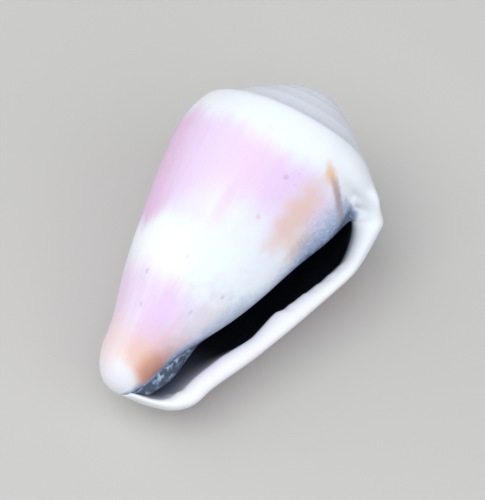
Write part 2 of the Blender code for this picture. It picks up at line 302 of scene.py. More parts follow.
# %% Strip and hollow
STRIP_ANGLE = 1.0
STRIP_DEPTH = 3.6
STRIP_DROP = 0.9
STRIP_WORN = 0.3
STRIP_KNEE = (0.12, 0.5)
HOLLOW_DEPTH = 0.55
HOLLOW_BELOW = 5.4
HOLLOW_CLIMB = 2.0
HOLLOW_WIDTH = 0.8

# Depth, level and reach of each bell curve of the swell
SWELL = ((1.03, 27.44, 3.87), (0.51, 20.74, 7.18))


def swell(height):
    """How much the wall beside the mouth stands out."""
    return sum(depth * bell((height - level) / reach) for depth, level, reach in SWELL)


def bow(start, knee, end, steps):
    """Points from start to end on a curve that leans toward the knee."""
    t = np.linspace(0, 1, steps + 1)[:, None]
    return (1 - t) ** 2 * start + 2 * t * (1 - t) * knee + t**2 * end


def strip_rows(turn, rows):
    """Rows of the early side, thickened by the strip and sunk under it."""
    past = turn + FULL_TURN
    share = past / STRIP_ANGLE
    if share >= 1:
        return rows
    edge = RAMP_ROWS + 1
    foot = along(side_curve(turn), [STRIP_DEPTH + STRIP_DROP * (1 - share)])[0]
    top = ramp(past, np.arange(edge + 1) / edge)
    knee = top[-1] - np.array(STRIP_KNEE) * (top[-1] - foot)
    sharp = np.vstack([top, bow(top[-1], knee, foot, HEAD_ROWS - edge)[1:]])
    worn = bow(top[0], top[-1], foot, HEAD_ROWS)
    shaped = worn + (sharp - worn) * (1 - smooth(share / STRIP_WORN))
    head = slice(0, HEAD_ROWS + 1)
    strength = 1 - smooth(share)
    rows[head] += (shaped - rows[head]) * strength
    below = arc_lengths(rows) - HOLLOW_BELOW + HOLLOW_CLIMB * share
    rows[:, 0] -= HOLLOW_DEPTH * bell(below / HOLLOW_WIDTH) * strength
    rows[:, 0] += swell(rows[:, 1]) * strength
    return rows


print("the swell stands out by up to", round(max(swell(np.arange(20.0, 32.0))), 2), "mm")

# %% [markdown]
# ## How thick the wall is
#
# At the worn lip the wall is about two millimetres thick, and it gets thinner inside. The inner edge of
# the lip isn't straight: halfway down it steps in, and above the step it is finely scalloped. A short
# table gives the thickness by height, and two small formulas add the step and the scallops.

# %% Wall and lip's inner edge
# Height over the tip, thickness of the wall at the lip
LIP_WALL = (
    (1.0, 0.45),
    (1.8, 0.7),
    (3.0, 1.8),
    (5.0, 2.1),
    (9.5, 2.25),
    (13.0, 1.85),
    (16.0, 2.05),
    (18.0, 2.1),
    (22.0, 1.8),
    (26.0, 1.65),
    (28.5, 2.2),
    (31.0, 2.8),
)
INNER_WALL = 1.25
LIP_WALL_SHARE = 0.25
STEP_HEIGHT = 17.4
STEP_RUN = 0.9
STEP_DEPTH = 0.4
STEP_FADE = 5.5
STEP_REACH = 12
SCALLOP_DEPTH = 0.09
SCALLOP_SPACING = 1.15
SCALLOP_BEAT = 1.9
SCALLOP_TOP = 28.0
SCALLOP_FADE_LOW = 2
SCALLOP_FADE_HIGH = 3


def lip_edge(height, depth):
    """How much further in than a plain wall the lip's inner edge lies."""
    below = STEP_HEIGHT - height
    step = STEP_DEPTH * smooth(below / STEP_RUN) * (1 - smooth(below / STEP_FADE))
    wave = np.sin(FULL_TURN * height / SCALLOP_SPACING) * np.sin(height * SCALLOP_BEAT + 1.0)
    fine = SCALLOP_DEPTH * wave * smooth((height - STEP_HEIGHT) / SCALLOP_FADE_LOW)
    fine *= smooth((SCALLOP_TOP - height) / SCALLOP_FADE_HIGH)
    return (step + fine) * (1 - smooth(depth * STEP_REACH))


def wall_at(heights, depth):
    """Thickness of the wall; depth is 0 at the lip and 1 at the end of the space."""
    wall = np.interp(heights, *np.transpose(LIP_WALL))
    return wall + (INNER_WALL - wall) * smooth(depth / LIP_WALL_SHARE) + lip_edge(heights, depth)


print("wall at the lip, halfway up:", wall_at(17.0, 0.0).round(2), "mm")

# %% [markdown]
# ## The space behind the mouth
#
# The mouth is the gap between the lip and the side of the turn before. Its cross section narrows to a
# rounded end at the top and at the foot, and it goes back for four fifths of a turn, as far as anybody can
# see. Near the tip the pillar that the shell winds round, the columella, stands out into the mouth. A
# boolean could cut such a slot, but worked out ring by ring it shares its edge with the rounded lip.

# %% Slot behind the lip
CAVITY_TURN = 1.6 * math.pi
CEILING_AT_LIP = 3.3
CEILING_INSIDE = 2.2
FLOOR_AT_LIP = 1.6
FLOOR_RISE = 8.0
SLOT_TOP_END = 4.0
SLOT_FOOT_END = 1.2
SLOT_FOOT_GROWTH = 2.0
SLOT_LEAN = 0.1
NARROWEST_GAP = 0.6
COLUMELLA_RISE = 2.5
COLUMELLA_LEVEL = 5.5
COLUMELLA_REACH = 4.6
COLUMELLA_FULL = 0.7
COLUMELLA_FADE_FROM = 1.2
COLUMELLA_FADE = 1.2
LEVEL_FROM = 24.0
LEVEL_RUN = 3.0


def columella(turn, height):
    """How much the twisted pillar stands out, just inside the mouth near the tip."""
    inward = smooth(-turn / COLUMELLA_FULL) * (1 - smooth((-turn - COLUMELLA_FADE_FROM) / COLUMELLA_FADE))
    return COLUMELLA_RISE * inward * bell((height - COLUMELLA_LEVEL) / COLUMELLA_REACH)


def radius_at(curve, heights):
    """Radius of a curve at the given heights."""
    order = np.argsort(curve[:, 1])
    return np.interp(heights, curve[order, 1], curve[order, 0])


def inside_radius(turn, depth, heights):
    """Radius of the wall's inner face: square to the side curve, and level under the shoulder."""
    curve = side_curve(turn)
    step = np.gradient(curve, axis=0)
    step /= np.hypot(step[:, 0], step[:, 1])[:, None]
    inward = np.stack([step[:, 1], -step[:, 0]], 1)
    square = radius_at(curve + inward * wall_at(curve[:, 1], depth)[:, None], heights)
    level = radius_at(curve, heights) - wall_at(heights, depth)
    return square + (level - square) * smooth((heights - LEVEL_FROM) / LEVEL_RUN)


def slot(turn, share, sides):
    """Cross section of the space: share 0 is its foot and 1 its top; sides say outer, end or inner."""
    depth = min(-turn / CAVITY_TURN, 1.0)
    middle = (shoulder(turn)[0] + shoulder(turn - FULL_TURN)[0]) / 2
    under_ramp = SPIRE_TOP - SPIRE_SLOPE * math.hypot(middle, APEX_ROUNDING)
    top = under_ramp - (CEILING_AT_LIP + (CEILING_INSIDE - CEILING_AT_LIP) * depth)
    foot = FLOOR_AT_LIP + FLOOR_RISE * depth
    height = foot + (top - foot) * share
    outer = inside_radius(turn, depth, height)
    inner = radius_at(side_curve(turn - FULL_TURN), height) + columella(turn, height)
    inner += swell(height) * (1 - smooth(-turn))
    inner = np.minimum(inner, outer - NARROWEST_GAP)
    foot_end = SLOT_FOOT_END + SLOT_FOOT_GROWTH * depth
    near_top = np.clip((height - top + SLOT_TOP_END) / SLOT_TOP_END, 0, 1)
    near_foot = np.clip((foot + foot_end - height) / foot_end, 0, 1)
    width = np.sqrt((1 - near_top**2) * (1 - near_foot**2))
    radius = (outer + inner) / 2 + (sides * width + SLOT_LEAN * near_top**2) * (outer - inner) / 2
    return place(turn, np.stack([radius, height], 1))


print("the space goes back", round(CAVITY_TURN / FULL_TURN, 2), "of a turn")

# %% [markdown]
# ## The mesh
#
# One closed surface, with no loose pieces: the spire, the last whorl, the rounded lip and the space
# behind it all share their edges. Each vertex also keeps two numbers for the colouring: its turn, and how
# far behind the lip it lies.

# %% Mesh holder
class Wall:
    """Vertices, faces and the growth values of each vertex."""

    def __init__(self):
        self.points = []
        self.faces = []
        self.turn = []
        self.inside = []

    def add(self, point, turn, inside=0.0):
        self.points.append(tuple(float(x) for x in point))
        self.turn.append(float(turn))
        self.inside.append(float(inside))
        return len(self.points) - 1

    def add_rows(self, turn, rows):
        """Vertices for one column of points in the half plane."""
        return [self.add(p, turn) for p in place(turn, rows)]

    def strip(self, left, right):
        """Faces between two rows of vertices."""
        for a, b, c, d in zip(left[:-1], left[1:], right[1:], right[:-1]):
            corners = [a, d, c, b]
            self.faces.append(tuple(k for i, k in enumerate(corners) if k != corners[i - 1]))


wall = Wall()
print("an empty wall")

# %% [markdown]
# ## Spire and last whorl
#
# The shoulder line is laid down first, one vertex a column. The side columns hang from its last turn,
# and the ramps fill in between each turn and the one before. The last ramp column runs straight into
# the worn strip, so the surface goes on without a break.

# %% Spire and whorl
def turn_of(column):
    """Turn of a column, counted from the apex."""
    return (column / COLUMNS - SPIRE_TURNS) * FULL_TURN


def add_shoulder_line(wall):
    """The shoulder line, up to where the side begins."""
    line = []
    for j in range((SPIRE_TURNS - 1) * COLUMNS + 1):
        line += wall.add_rows(turn_of(j), [shoulder(turn_of(j))])
    return line


def add_last_whorl(wall, line):
    """Side columns of the last turn. The shoulder line grows by one vertex a column."""
    tip = wall.add(place(0.0, [(0.0, TIP_HEIGHT)])[0], -FULL_TURN / 2)
    start = strip_rows(-FULL_TURN, side_rows(-FULL_TURN))
    grid = [[line[-1]] + wall.add_rows(-FULL_TURN, start[1:-1]) + [tip]]
    for j in range(1, COLUMNS):
        turn = (j / COLUMNS - 1) * FULL_TURN
        rows = strip_rows(turn, side_rows(turn))
        grid.append(wall.add_rows(turn, rows[:-1]) + [tip])
        line.append(grid[-1][0])
    corner = grid[0][RAMP_ROWS + 1]
    line.append(corner)
    grid.append([corner] + wall.add_rows(0.0, side_rows(0.0)[1:-1]) + [tip])
    for left, right in zip(grid[:-1], grid[1:]):
        wall.strip(left, right)
    return grid


def add_spire(wall, line, first_column):
    """Ramps between the turns of the shoulder line, and the cap at the apex."""
    shares = np.arange(1, RAMP_ROWS + 1) / (RAMP_ROWS + 1)
    ramps = []
    for j in range(COLUMNS, len(line) - 1):
        inner = wall.add_rows(turn_of(j), ramp(turn_of(j), shares))
        ramps.append([line[j - COLUMNS]] + inner + [line[j]])
    ramps.append(first_column[: RAMP_ROWS + 2])
    for left, right in zip(ramps[:-1], ramps[1:]):
        wall.strip(left, right)
    apex = wall.add((0.0, 0.0, SPIRE_TOP - SPIRE_SLOPE * APEX_ROUNDING), turn_of(0))
    for a, b in zip(line[: COLUMNS - 1], line[1:COLUMNS]):
        wall.faces.append((apex, b, a))
    ring = [apex] + ramps[0]
    for a, b in zip(ring[:-1], ring[1:]):
        wall.faces.append((a, b, line[COLUMNS - 1]))


line = add_shoulder_line(wall)
grid = add_last_whorl(wall, line)
add_spire(wall, line, grid[0])
print("outside:", len(wall.points), "vertices,", len(wall.faces), "faces")

# %% [markdown]
# ## Lip and mouth
#
# The open edge of the grid is one loop: down the lip, round the tip and up the turn before. A half
# circle of loops rounds it over, and then the loops follow the space inward and are closed by an end
# wall that nobody can see.

# %% Lip and mouth
LIP_ROUNDING = 0.85
WALL_ROUNDING = 0.35
CORNER_BLEND = 3.0
TIP_BLEND = 1.5
MOUTH_INSET = 0.08
CAVITY_BUNCHING = 1.5


def rounding(edge, sides):
    """How far the rounded edge stands out; it fades where the loop passes the corner and the tip."""
    gaps = np.linalg.norm(np.diff(edge, axis=0, append=edge[:1]), axis=1)
    along_loop = np.cumsum(gaps) - gaps
    from_corner = np.minimum(along_loop, gaps.sum() - along_loop)
    tip = np.flatnonzero(sides == 0)[-1]
    from_tip = np.abs(along_loop - along_loop[tip])
    reach = np.where(sides > 0, LIP_ROUNDING, WALL_ROUNDING)
    return reach * smooth(from_corner / CORNER_BLEND) * smooth(from_tip / TIP_BLEND)


def mouth_loops(edge, share, sides):
    """The rounding of the lip, then the cross sections of the space, each with its depth."""
    inside = slot(-MOUTH_INSET, share, sides)
    reach = rounding(edge, sides)
    for k in range(1, LIP_LOOPS + 1):
        angle = math.pi * k / LIP_LOOPS
        points = edge + (inside - edge) * (1 - math.cos(angle)) / 2
        points[:, 1] -= reach * math.sin(angle)
        yield points, MOUTH_INSET * k / LIP_LOOPS
    for k in range(1, CAVITY_LOOPS + 1):
        back = MOUTH_INSET + (CAVITY_TURN - MOUTH_INSET) * (k / CAVITY_LOOPS) ** CAVITY_BUNCHING
        yield slot(-back, share, sides), back


def add_mouth(wall, first_column, last_column):
    """The lip's rounding, the space behind it and its end wall."""
    inner_rows = list(range(len(first_column) - 2, RAMP_ROWS + 1, -1))
    loop = last_column + [first_column[i] for i in inner_rows]
    sides = np.array([0] + [1] * (len(last_column) - 2) + [0] + [-1] * len(inner_rows))
    edge = np.array([wall.points[i] for i in loop])
    share = np.clip((edge[:, 2] - TIP_HEIGHT) / (edge[0, 2] - TIP_HEIGHT), 0, 1)
    for points, back in mouth_loops(edge, share, sides):
        turns = np.where(sides > 0, -back, -FULL_TURN - back)
        ring = [wall.add(p, t, back) for p, t in zip(points, turns)]
        wall.strip(loop + loop[:1], ring + ring[:1])
        loop = ring
    middle = np.mean([wall.points[i] for i in loop], axis=0)
    centre = wall.add(middle, -FULL_TURN, CAVITY_TURN)
    for a, b in zip(loop, loop[1:] + loop[:1]):
        wall.faces.append((a, centre, b))


add_mouth(wall, grid[0], grid[-1])
print("wall:", len(wall.points), "vertices,", len(wall.faces), "faces")

# %% [markdown]
# ## Wear
#
# The sea has rolled the shell over sand, and the sand takes corners first. Each vertex near a corner is
# drawn again and again toward the mean of its neighbours, which rounds the corner much as sand does. Two
# spots wear most, where the lip meets the shoulder and where the worn strip runs into the mouth, and the
# shoulder wears a little all the way round. After that the whole outside gets low uneven swells, a few
# hundredths of a millimetre high: no worn surface is as even as a formula.

# %% Wear
# Each spot: turn, distance outward and upward from the shoulder at the lip, reach
WEAR_SPOTS = ((0.0, 0.3, -1.7, 5.4), (0.05, -1.8, -1.6, 3.6))
WEAR_PASSES = 140
WEAR_RATE = 0.8
SHOULDER_WORN = 0.18
SHOULDER_WORN_REACH = 2.4
LAST_WHORL = 1.02 * FULL_TURN

# Each layer of unevenness: fineness, depth, place in the noise
UNEVEN = ((0.16, 0.055, (0.0, 1.9, 4.1)), (0.42, 0.022, (7.3, 1.9, 4.1)))
UNEVEN_FADE = 0.3


def neighbours(faces):
    """Every pair of vertices that an edge joins."""
    return np.array([pair for face in faces for pair in zip(face, face[1:] + face[:1])])


def worn_share(points, turns):
    """How much each vertex wears, from 0 to 1."""
    share = np.zeros(len(points))
    for turn, outward, up, reach in WEAR_SPOTS:
        spot = place(turn, [shoulder(0.0) + (outward, up)])[0]
        share = np.maximum(share, 1 - smooth(np.linalg.norm(points - spot, axis=1) / reach))
    lines = np.array([shoulder(turn) for turn in turns])
    from_line = np.hypot(np.hypot(points[:, 0], points[:, 1]) - lines[:, 0], points[:, 2] - lines[:, 1])
    outer = (turns > -LAST_WHORL) & (turns <= 0)
    return np.maximum(share, SHOULDER_WORN * outer * (1 - smooth(from_line / SHOULDER_WORN_REACH)))


def wear(points, faces, turns):
    """Round the corners, pass by pass."""
    near = worn_share(points, turns)
    pairs = neighbours(faces)
    pairs = pairs[near[pairs[:, 0]] > 0]
    touched, index = np.unique(pairs[:, 0], return_inverse=True)
    count = np.bincount(index)[:, None]
    for _ in range(WEAR_PASSES):
        total = np.stack([np.bincount(index, points[pairs[:, 1], k]) for k in range(3)], 1)
        points[touched] += WEAR_RATE * near[touched, None] * (total / count - points[touched])
    return points


def surface_normals(points, faces):
    """Direction that points straight out of the surface at each vertex."""
    data = bpy.data.meshes.new("for normals")
    data.from_pydata(points.tolist(), [], faces)
    data.update()
    normals = np.empty(len(points) * 3)
    data.vertex_normals.foreach_get("vector", normals)
    bpy.data.meshes.remove(data)
    return normals.reshape(-1, 3)


def unevenness(points):
    """Low uneven swells, as a height over each point."""
    rise = np.zeros(len(points))
    for fineness, depth, start in UNEVEN:
        rise += depth * np.array([noise.noise(Vector(p) * fineness + Vector(start)) for p in points])
    return rise


spots = wear(np.array(wall.points), wall.faces, np.array(wall.turn))
inside = np.array(wall.inside)
rise = unevenness(spots) * (1 - smooth(inside / UNEVEN_FADE))
spots += surface_normals(spots, wall.faces) * rise[:, None]
print("uneven from", rise.min().round(3), "to", rise.max().round(3), "mm")

# %% [markdown]
# ## Lay it down
#
# A cone shell lies on the widest part of its side, so the spire rises a little and the mouth looks up
# and to the right. The spot it lies on is worn flat, as on the plain solid.

# %% Rest pose
REST_TURN = -math.radians(78)
REST_TILT = math.radians(12.5)
FLAT_DEPTH = 0.2


def rest_pose(points):
    """Lay the shell on its side, spire toward +Y, and wear the lowest part flat."""
    out = np.array([math.cos(REST_TURN), -math.sin(REST_TURN), 0.0])
    axis = np.array([0.0, 0.0, 1.0])
    down = math.cos(REST_TILT) * out - math.sin(REST_TILT) * axis
    ahead = math.sin(REST_TILT) * out + math.cos(REST_TILT) * axis
    right = np.cross(down, ahead)
    turned = points @ np.stack([right, ahead, -down], 1)
    floor = turned[:, 2].min() + FLAT_DEPTH
    turned[:, 2] = np.maximum(turned[:, 2], floor)
    low, high = turned.min(axis=0), turned.max(axis=0)
    return turned - np.array([(low[0] + high[0]) / 2, (low[1] + high[1]) / 2, floor])


laid = rest_pose(spots) * MILLIMETRE
print("shell measures", ((laid.max(axis=0) - laid.min(axis=0)) / MILLIMETRE).round(2), "mm")

# %% [markdown]
# ## One object, with its growth written on it
#
# A shell is coloured while it grows: the edge of the mantle lays down pigment at a fixed height, so a
# colour band follows the height, and a streak follows the old edge of the lip. Painting would need a
# picture and a map. Writing the growth values on the vertices needs neither, and the bands then turn
# with the whorl of their own accord. One more value marks the white rim over the top of the mouth.

# %% Object and growth values
RIM_RADIUS = 9.5
RIM_RUN = 0.8
RIM_FOOT = 28.0


def write_values(data, name, values):
    """Write one number on each vertex, under a name that a material can read."""
    attribute = data.attributes.new(name, "FLOAT", "POINT")
    attribute.data.foreach_set("value", np.asarray(values, np.float32))


shell_data = bpy.data.meshes.new("cone shell")
shell_data.from_pydata(laid.tolist(), [], wall.faces)
shell_data.shade_smooth()
write_values(shell_data, "height", spots[:, 2])
write_values(shell_data, "past_lip", 360 * (np.array(wall.turn) / FULL_TURN + 1))
write_values(shell_data, "inside", inside)
radius = np.hypot(spots[:, 0], spots[:, 1])
rim = smooth((radius - RIM_RADIUS) / RIM_RUN) * smooth(spots[:, 2] - RIM_FOOT)
write_values(shell_data, "rim", rim)
shell_data.update()
shell = bpy.data.objects.new("cone_shell", shell_data)
bpy.context.scene.collection.objects.link(shell)
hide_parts("shell")
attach(shell, "root")
print("one object,", len(shell_data.vertices), "vertices")

# %% [markdown]
# ## A short way to write node trees
#
# A finish is a graph of small nodes. A little helper keeps the graph readable: it adds a node, sets its
# values by name, links whatever is a socket, and has short names for the steps that come up most. Effects
# that repeat become node groups with named inputs and one mask as output, so the same band or stain can
# be placed many times with other numbers.

# %% Node helpers
def socket_name(word):
    """The name of a socket, from a word that Python can use."""
    return word.replace("_", " ").capitalize()


class Tree:
    """Adds nodes to one node tree and links them."""

    def __init__(self, tree):
        self.tree = tree

    def feed(self, socket, value):
        if isinstance(value, bpy.types.NodeSocket):
            self.tree.links.new(value, socket)
        else:
            socket.default_value = value

    def add(self, kind, inputs=(), **settings):
        node = self.tree.nodes.new(kind)
        for name, value in settings.items():
            setattr(node, name, value)
        for name, value in dict(inputs).items():
            self.feed(node.inputs[name], value)
        return node

    def maths(self, operation, *values):
        node = self.add("ShaderNodeMath", operation=operation)
        for socket, value in zip(node.inputs, values):
            self.feed(socket, value)
        return node.outputs[0]

    def plus(self, first, second):
        return self.maths("ADD", first, second)

    def minus(self, first, second):
        return self.maths("SUBTRACT", first, second)

    def over(self, first, second):
        return self.maths("DIVIDE", first, second)

    def times(self, product, *others):
        for value in others:
            product = self.maths("MULTIPLY", product, value)
        return product

    def line(self, value, slope, start):
        """A straight line: start where the value is 0, and slope more for each 1 of it."""
        return self.maths("MULTIPLY_ADD", value, slope, start)

    def vector(self, x, y, z=0.0):
        return self.add("ShaderNodeCombineXYZ", {"X": x, "Y": y, "Z": z}).outputs[0]

    def rescale(self, value, low, high, to_low=0.0, to_high=1.0):
        """A soft step from to_low, where the value is low, to to_high, where it is high."""
        names = ("Value", "From Min", "From Max", "To Min", "To Max")
        inputs = dict(zip(names, (value, low, high, to_low, to_high)))
        return self.add("ShaderNodeMapRange", inputs, interpolation_type="SMOOTHSTEP").outputs["Result"]

    def cloud(self, place, scale, detail, roughness=0.5):
        """Cloudy noise between 0 and 1."""
        inputs = {"Vector": place, "Scale": scale, "Detail": detail, "Roughness": roughness}
        return self.add("ShaderNodeTexNoise", inputs).outputs["Fac"]

    def swing(self, cloud, size):
        """A cloud made to swing to both sides of 0."""
        return self.times(self.minus(cloud, 0.5), size)

    def mix(self, share, first, second):
        node = self.add("ShaderNodeMix", data_type="RGBA")
        for slot_number, value in ((0, share), (6, first), (7, second)):
            self.feed(node.inputs[slot_number], value)
        return node.outputs[2]

    def mask_from(self, group, **inputs):
        """Place a node group with these inputs, and give its mask."""
        node = self.add("ShaderNodeGroup", node_tree=group)
        for word, value in inputs.items():
            self.feed(node.inputs[socket_name(word)], value)
        return node.outputs["Mask"]


def new_group(name, **inputs):
    """A node group with named inputs: the group, its tree, what it is given and its mask's socket."""
    group = bpy.data.node_groups.new(name, "ShaderNodeTree")
    for word, start in inputs.items():
        kind = "NodeSocketVector" if isinstance(start, tuple) else "NodeSocketFloat"
        socket = group.interface.new_socket(name=socket_name(word), in_out="INPUT", socket_type=kind)
        socket.default_value = start
    group.interface.new_socket(name="Mask", in_out="OUTPUT", socket_type="NodeSocketFloat")
    tree = Tree(group)
    given = tree.add("NodeGroupInput").outputs
    return group, tree, given, tree.add("NodeGroupOutput").inputs["Mask"]


print("helpers ready")

# %% [markdown]
# ## Colour bands
#
# A band is the stretch between two heights, with soft edges that wander a little from one growth line
# to the next. The wander comes from noise read along the growth lines, so it turns with the whorl.

# %% Band group
WANDER_PER_DEGREE = 0.11
WANDER_PER_MM = 0.12


def band_group():
    group, tree, given, mask = new_group("Colour band", height=0.0, past_lip=0.0, low=0.0, high=1.0,
                                         low_softness=1.0, high_softness=1.0, wander=0.5)
    across = tree.times(given["Past lip"], WANDER_PER_DEGREE)
    place_in_noise = tree.vector(across, tree.times(given["Height"], WANDER_PER_MM))
    drift = tree.swing(tree.cloud(place_in_noise, 1.0, 3.0), given["Wander"])
    level = tree.plus(given["Height"], drift)
    edges = []
    for name in ("Low", "High"):
        softness = given[name + " softness"]
        edges.append(tree.rescale(level, tree.minus(given[name], softness), tree.plus(given[name], softness)))
    tree.feed(mask, tree.times(edges[0], tree.minus(1.0, edges[1])))
    return group


band = band_group()
print("band group:", [s.name for s in band.interface.items_tree])

# %% [markdown]
# ## Growth streaks
#
# The shell grew in pulses, and each pulse laid down a little more or less pigment. So every band is
# made of streaks that run along the height. Noise stretched along the height, and fine across it, gives
# them.

# %% Streak group
STREAKS_PER_DEGREE = 0.17


def streak_group():
    group, tree, given, mask = new_group("Growth streaks", height=0.0, past_lip=0.0, fineness=1.0, length=8.0)
    across = tree.times(given["Past lip"], STREAKS_PER_DEGREE, given["Fineness"])
    down = tree.over(given["Height"], given["Length"])
    tree.feed(mask, tree.rescale(tree.cloud(tree.vector(across, down), 1.0, 4.0, 0.6), 0.3, 0.7))
    return group


streaks = streak_group()
print("streak group:", [s.name for s in streaks.interface.items_tree])

# %% [markdown]
# ## Ragged stains
#
# What is left of the outer coat lies in ragged patches. A patch is an ellipse on the unrolled side, in
# degrees and millimetres, whose distance from the middle is broken up by noise. The same group with a
# slant gives the brown line in the hollow, and with a small size a speck.

# %% Stain group
def stain_group():
    group, tree, given, mask = new_group(
        "Ragged stain", height=0.0, past_lip=0.0, position=(0.0, 0.0, 0.0), angle=60.0, level=20.0,
        half_angle=10.0, half_height=3.0, slant=0.0, softness=0.3, raggedness=0.5, grain=0.8)
    turned = tree.minus(given["Past lip"], given["Angle"])
    lift = tree.minus(given["Height"], given["Level"])
    lift = tree.minus(lift, tree.times(turned, given["Slant"]))
    x = tree.over(turned, given["Half angle"])
    y = tree.over(lift, given["Half height"])
    far = tree.maths("SQRT", tree.plus(tree.times(x, x), tree.times(y, y)))
    rough = tree.swing(tree.cloud(given["Position"], given["Grain"], 4.0), given["Raggedness"])
    far = tree.plus(far, tree.times(rough, 2.0))
    inner = tree.minus(1.0, given["Softness"])
    outer = tree.plus(1.0, given["Softness"])
    tree.feed(mask, tree.minus(1.0, tree.rescale(far, inner, outer)))
    return group


stain = stain_group()
print("stain group:", [s.name for s in stain.interface.items_tree])

# %% [markdown]
# ## Pits
#
# Sand and small borers leave pinholes, scattered and shallow, and dirt stays in some of them. A cell
# pattern puts one in each cell, and a random number of the cell decides whether it is there at all.

# %% Pit group
PIT_CORE = 0.3


def pit_group():
    group, tree, given, mask = new_group("Pits", position=(0.0, 0.0, 0.0), spacing=1.5, size=0.15, share=0.3)
    cells = tree.add("ShaderNodeTexVoronoi", {"Vector": given["Position"], "Randomness": 1.0,
                                              "Scale": tree.over(1.0, given["Spacing"])})
    size = tree.over(given["Size"], given["Spacing"])
    hole = tree.minus(1.0, tree.rescale(cells.outputs["Distance"], tree.times(size, PIT_CORE), size))
    chance = tree.add("ShaderNodeSeparateColor", {"Color": cells.outputs["Color"]}).outputs[0]
    tree.feed(mask, tree.times(hole, tree.maths("LESS_THAN", chance, given["Share"])))
    return group


pits = pit_group()
print("pit group:", [s.name for s in pits.interface.items_tree])

# %% [markdown]
# ## Reading the growth values
#
# The material starts from the values that were written on the vertices. Everything on the outside is laid
# over a white ground, layer by layer, from the broadest to the smallest. Three short helpers place a band
# or a stain with the growth values already plugged in, and lay a whole list of stains over a colour.

# %% Start of the shell's finish
STAIN_PLACE = ("angle", "level", "half_angle", "half_height", "slant")

finish = bpy.data.materials.new("worn shell")
finish.use_nodes = True
bsdf = finish.node_tree.nodes["Principled BSDF"]
coat = Tree(finish.node_tree)


def written(name):
    """A value that was written on the vertices."""
    return coat.add("ShaderNodeAttribute", attribute_name=name).outputs["Fac"]


height = written("height")
past_lip = written("past_lip")
depth_in = written("inside")
off_rim = coat.minus(1.0, written("rim"))
here = {0: coat.add("ShaderNodeTexCoord").outputs["Object"], "Scale": 1 / MILLIMETRE}
here_mm = coat.add("ShaderNodeVectorMath", here, operation="SCALE").outputs["Vector"]
growth = {"height": height, "past_lip": past_lip}


def band_mask(low, high, softness, wander):
    """The stretch between two heights; softness is that of its low edge and of its high edge."""
    return coat.mask_from(band, **growth, low=low, high=high, low_softness=softness[0],
                          high_softness=softness[1], wander=wander)


def stain_mask(place, softness, raggedness, grain):
    """One stain; place is its angle, level, half angle, half height and, where it slants, its slant."""
    where = dict(zip(STAIN_PLACE, place))
    return coat.mask_from(stain, **growth, position=here_mm, **where, softness=softness,
                          raggedness=raggedness, grain=grain)


def lay(stains, colour, grain, *limits):
    """Lay stains over a colour, one after the other; gives the new colour and the stains' masks."""
    masks = []
    for name, tint, strength, softness, raggedness, place in stains:
        masks.append(coat.times(stain_mask(place, softness, raggedness, grain), strength, *limits))
        colour = coat.mix(masks[-1], colour, tint)
    return colour, masks


print("finish started")

# %% [markdown]
# ## White ground and spire
#
# Bleached shell is white with a cool cast. The spire is painted a little greyer: painted shade for its
# sloping ramps, which face away from the light. The change from one to the other is the worn shoulder. The
# ground isn't even: the middle of the side is cooler, a brighter white is painted on the white band left of
# the middle as painted light, and a brighter white is painted on the strip that runs along the shoulder near
# the mouth as painted light, where the strip tilts away from the lamps. Each of these is laid as a very soft
# stain.

# %% Ground
WHITE = (0.875, 0.90, 0.92, 1.0)
# Painted shade: the spire's sloping ramps face away from the light, so the spire is painted greyer
SPIRE_SHADE_GREY = (0.80, 0.81, 0.87, 1.0)
SPIRE_FROM = 32.0
SPIRE_FULL = 35.4
GROUND_GRAIN = 0.4

# Name, colour, strength, softness, raggedness, place (angle, level, half angle, half height)
GROUND_TINTS_AND_PAINTED_LIGHT = (
    ("cooler middle", (0.795, 0.86, 0.93, 1.0), 1.0, 0.95, 0.3, (93, 21, 34, 10)),
    # Painted light: a brighter white on the white band left of the middle, where the light falls most
    ("painted light on the white band", (0.95, 0.95, 0.95, 1.0), 1.0, 0.8, 0.3, (134, 15, 24, 2.6)),
    # Painted light: a brighter white on the shoulder strip, which tilts away from the lamps
    ("painted light on the shoulder strip", (0.91, 0.94, 0.98, 1.0), 1.0, 0.8, 0.2, (24, 32.0, 44, 1.5)),
)

colour = coat.mix(coat.rescale(height, SPIRE_FROM, SPIRE_FULL), WHITE, SPIRE_SHADE_GREY)
colour, masks = lay(GROUND_TINTS_AND_PAINTED_LIGHT, colour, GROUND_GRAIN)
print("white ground with", len(masks), "soft changes, and greyer above", SPIRE_FROM, "mm")

# %% [markdown]
# ## The two lilac bands
#
# The upper band reaches from 18 to 30 millimetres over the tip on the left of the photograph and fades
# from 24 millimetres down on its right. The lower one lies between 5 and 13 millimetres and fades upward.
# How strong they are changes round the shell, so each has its own profile by the angle past the lip.
# Fine streaks multiply the profiles. One streak of the upper band is darker than the rest, and a pale
# violet veil lies over the whole width of that band.

# %% Lilac bands
LILAC = (0.80, 0.585, 0.83, 1.0)
VIOLET = (0.80, 0.62, 0.93, 1.0)
PINK = (0.79, 0.545, 0.755, 1.0)
PINK_FROM = 126.0
PINK_FULL = 156.0

# Pairs of degrees past the lip and strength
UPPER_STRENGTH = (
    (0, 0.15), (25, 0.35), (50, 0.5), (64, 0.62), (74, 0.98), (88, 1.0), (98, 1.0), (108, 0.82), (128, 0.68),
    (142, 0.86), (158, 1.0), (176, 1.0), (210, 0.75), (240, 0.5), (275, 0.85), (315, 0.6), (345, 0.15),
    (360, 0.04),
)
LOWER_STRENGTH = (
    (0, 0.1), (30, 0.25), (52, 0.5), (68, 0.6), (80, 0.86), (96, 1.0), (112, 1.0), (128, 0.72), (145, 0.62),
    (160, 0.7), (178, 0.6), (212, 0.8), (255, 0.55), (305, 0.7), (345, 0.15), (360, 0.04),
)
VEIL_STRENGTH = (
    (0, 0.12), (60, 0.2), (88, 0.22), (102, 0.32), (118, 0.46), (140, 0.4), (200, 0.3), (335, 0.22),
    (352, 0.03), (360, 0.0),
)

